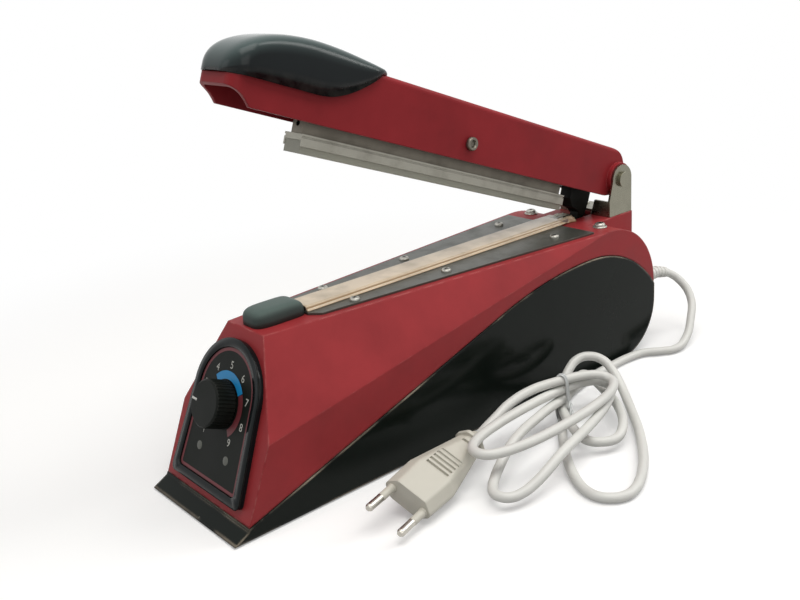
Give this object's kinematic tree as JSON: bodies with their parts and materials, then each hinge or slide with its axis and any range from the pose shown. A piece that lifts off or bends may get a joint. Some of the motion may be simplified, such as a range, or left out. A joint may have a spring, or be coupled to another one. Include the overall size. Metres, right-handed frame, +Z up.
{
  "type": "hand impulse sealer",
  "caption": "Hand impulse sealer: moulded body with a timer knob on its leaning face, a heated bar under a sprung arm with a rocking press bar, and a tied mains cord.",
  "frame": {"origin": "centre of the footprint of the body and arm, on the bench under the feet", "axes": "+X to the right seen from the dial, +Y from the dial to the hinge, +Z up"},
  "size_m": [0.1852, 0.3535, 0.2214],
  "materials": {
    "casing_red": "satin red moulding",
    "arm_red": "satin red moulding",
    "tray_black": "glossy dark moulding",
    "handle_black": "glossy black moulding",
    "cap_slate": "matte slate moulding",
    "black_plastic": "matte black",
    "white_plastic": "smooth white",
    "ivory_plastic": "smooth ivory",
    "rubber_black": "matte",
    "silicone": "pale grey, matte",
    "steel": "zinc plated",
    "plate_grey": "dark grey, satin",
    "aluminium": "extruded",
    "brass": "plain",
    "tan_cloth": "coated glass cloth with a sheen",
    "nickel": "drawn ribbon",
    "board_green": "coated board",
    "parts_dark": "moulded component cases",
    "core_grey": "varnished laminations",
    "copper": "enamelled copper wire",
    "cord_white": "smooth flexible sheath",
    "tie_clear": "coated tie wire"
  },
  "bodies": {
    "base": {"base_tray": "tray_black", "top_casing": "casing_red", "rubber_feet": "rubber_black", "base_screws": "steel", "casing_screws": "steel", "dial_bezel": "black_plastic", "dial_plate": "black_plastic", "pot_body": "steel", "pot_nut": "steel", "top_plate": "plate_grey", "plate_screws": "steel", "element_bar": "aluminium", "insulating_strip": "tan_cloth", "heating_ribbon": "nickel", "ptfe_cover": "tan_cloth", "front_cap": "cap_slate", "front_terminal": "brass", "rear_terminal": "brass", "hinge_bracket": "steel", "bracket_screws": "steel", "hinge_pin": "steel", "return_spring": "steel", "microswitch": "black_plastic", "timer_board": "board_green", "board_parts": "parts_dark", "board_screws": "steel", "transformer_core": "core_grey", "transformer_winding": "copper", "transformer_screws": "steel", "cord_gland": "white_plastic", "cord_lead": "cord_white", "cord_hank": "cord_white", "cord_tail": "cord_white", "cord_tie": "tie_clear", "plug_body": "ivory_plastic", "plug_pins": "nickel"},
    "arm": {"arm_shell": "arm_red", "handle_cap": "handle_black", "handle_screws": "steel", "pivot_screw": "steel", "pivot_nut": "steel", "pivot_spacers": "white_plastic", "switch_striker": "black_plastic"},
    "press_bar": {"press_bracket": "steel", "strip_holder": "aluminium", "silicone_strip": "silicone", "holder_screws": "steel"},
    "knob": {"timer_knob": "black_plastic", "knob_pointer": "white_plastic", "pot_shaft": "steel"},
    "lever": {"switch_lever": "steel"}
  },
  "joints": [
    {"name": "arm_hinge", "type": "hinge", "parent": "base", "child": "arm", "pos_m": [0, 0.15001, 0.108], "axis": [1, 0, 0], "range_deg": [0, 16.6], "stiffness_Nm_per_rad": 1.5, "springref_deg": -28.65, "deforming": ["return_spring"]},
    {"name": "press_bar_rock", "type": "hinge", "parent": "arm", "child": "press_bar", "pos_m": [0, 0.02535, 0.15208], "axis": [1, 0, 0], "range_deg": [0, 4]},
    {"name": "timer_knob", "type": "hinge", "parent": "base", "child": "knob", "pos_m": [0, -0.13119, 0.05064], "axis": [0, 0.9178, -0.3971], "range_deg": [-54, 234]},
    {"name": "switch_lever", "type": "hinge", "parent": "base", "child": "lever", "pos_m": [0, 0.15001, 0.074], "axis": [1, 0, 0], "range_deg": [0, 10.89]}
  ],
  "couplings": [
    {"joint": "press_bar_rock", "follows": "arm_hinge", "ratio": 0.2352},
    {"joint": "switch_lever", "follows": "arm_hinge", "ratio": 0.65}
  ]
}
